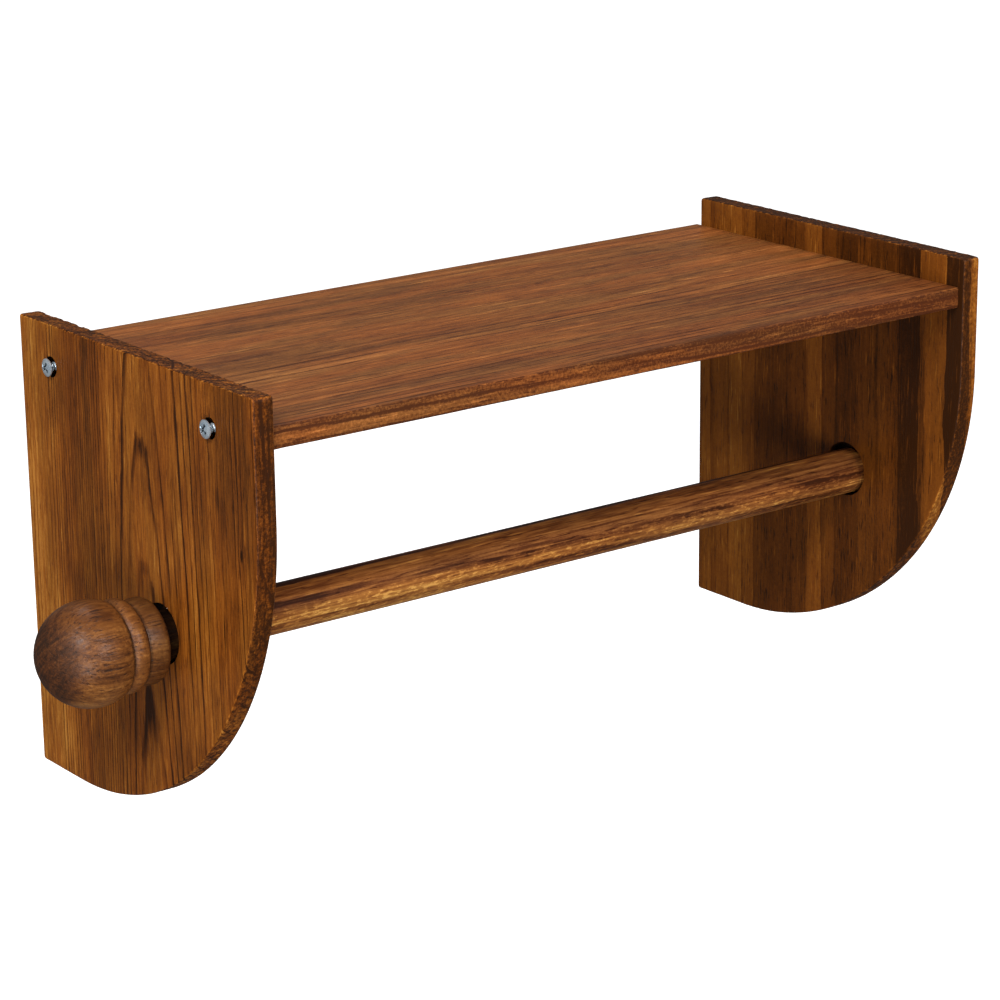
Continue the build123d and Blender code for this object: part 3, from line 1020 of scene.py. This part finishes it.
def stage():
    """A wide pale floor well under the part, that curves up far away."""
    level, flat, bend = cad_box[0].z - FLOOR_DROP, FLOOR_FLAT, FLOOR_BEND
    profile = [(0.0, 0.0), (flat / 2, 0.0)]
    profile += [(flat + bend * math.sin(turn), bend * (1 - math.cos(turn)))
                for turn in (math.pi / 2 * step / BEND_STEPS for step in range(BEND_STEPS + 1))]
    profile.append((flat + bend, FLOOR_TOP))
    points, faces = turned([(rise, reach) for reach, rise in profile], FLOOR_SEGMENTS,
                           lambda rise, x, y: (x, y, level + rise))
    mesh = bpy.data.meshes.new("floor")
    mesh.from_pydata(points, [], faces)
    mesh.shade_smooth()
    shader = Shader("floor_paper")
    mottle = shader.noise(shader.node("TexCoord").outputs["Object"], (9.0, 9.0, 9.0), 3.0)
    colour = shader.ramp(mottle, [(0.3, tint(244, 244, 242)), (0.7, tint(250, 250, 249))])
    shader.finish(Base_Color=colour, Roughness=0.9, Emission_Color=tint(255, 255, 255),
                  Emission_Strength=0.93)
    mesh.materials.append(shader.material)
    floor = bpy.data.objects.new("floor", mesh)
    floor.visible_diffuse = False
    floor.visible_glossy = False
    floor.visible_shadow = False
    bpy.context.scene.collection.objects.link(floor)


def lamp(name, place, size, power):
    """A round soft lamp, in metres and watts."""
    light = bpy.data.lights.new(name, "AREA")
    light.shape = "DISK"
    light.size = size
    light.energy = power
    holder = bpy.data.objects.new(name, light)
    holder.location = place
    holder.rotation_mode = "QUATERNION"
    holder.rotation_quaternion = (Vector(AIM) - Vector(place)).to_track_quat("-Z", "Y")
    bpy.context.scene.collection.objects.link(holder)


def lights():
    """Soft studio light, most of it from the left and in front."""
    lamp("key_softbox", (-1.6, -1.1, 1.55), 1.1, 45.0)
    lamp("front_light", (0.1, -2.2, 0.95), 0.8, 28.0)
    lamp("low_fill", (-1.3, -1.6, -0.35), 1.0, 22.0)
    lamp("top_sheen", (0.5, 0.9, 2.0), 1.2, 12.0)
    lamp("right_fill", (2.0, -0.5, 0.7), 1.2, 10.0)
    world = bpy.data.worlds.new("studio")
    world.use_nodes = True
    background = world.node_tree.nodes["Background"].inputs
    background["Color"].default_value = (1.0, 1.0, 1.0, 1.0)
    background["Strength"].default_value = 0.16
    bpy.context.scene.world = world
    bpy.context.scene.view_settings.view_transform = "Standard"


def camera():
    """The view from the left, in front and above, with a long lens."""
    place = Vector((-0.81629, -1.16719, 0.35378))
    azimuth, elevation, roll = -0.6447, 0.2940, -0.0115
    back = Vector((math.sin(azimuth) * math.cos(elevation),
                   -math.cos(azimuth) * math.cos(elevation), math.sin(elevation)))
    right = (-back).cross(Vector((0, 0, 1))).normalized()
    up = right.cross(-back)
    tilted_right = right * math.cos(roll) + up * math.sin(roll)
    tilted_up = up * math.cos(roll) - right * math.sin(roll)
    data = bpy.data.cameras.new("camera")
    data.lens = 115.0
    data.sensor_width = 36.0
    data.clip_end = 100.0
    holder = bpy.data.objects.new("camera", data)
    holder.matrix_world = Matrix.Translation(place) @ Matrix(
        (tilted_right, tilted_up, back)).transposed().to_4x4()
    bpy.context.scene.collection.objects.link(holder)
    bpy.context.scene.camera = holder


# ---------------------------------------------------------------- the whole


zinc_material = zinc("zinc_plate")
for side in sides:
    side_panel(side)
shelf()
rod()
knob()
for side, sign in sides.items():
    for row in ("front", "rear"):
        pan_screw(f"shelf_screw_{side}_{row}", sign, SHELF_SCREW, zinc_material)
    for row in ("upper", "lower"):
        pan_screw(f"hanger_screw_{side}_{row}", -sign, HANGER_SCREW, zinc_material)
for node in ("hanger_plate_left", "hanger_plate_right", "knob_dowel_screw"):
    for material_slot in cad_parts[node].material_slots:
        material_slot.material = zinc_material
stage()
lights()
camera()
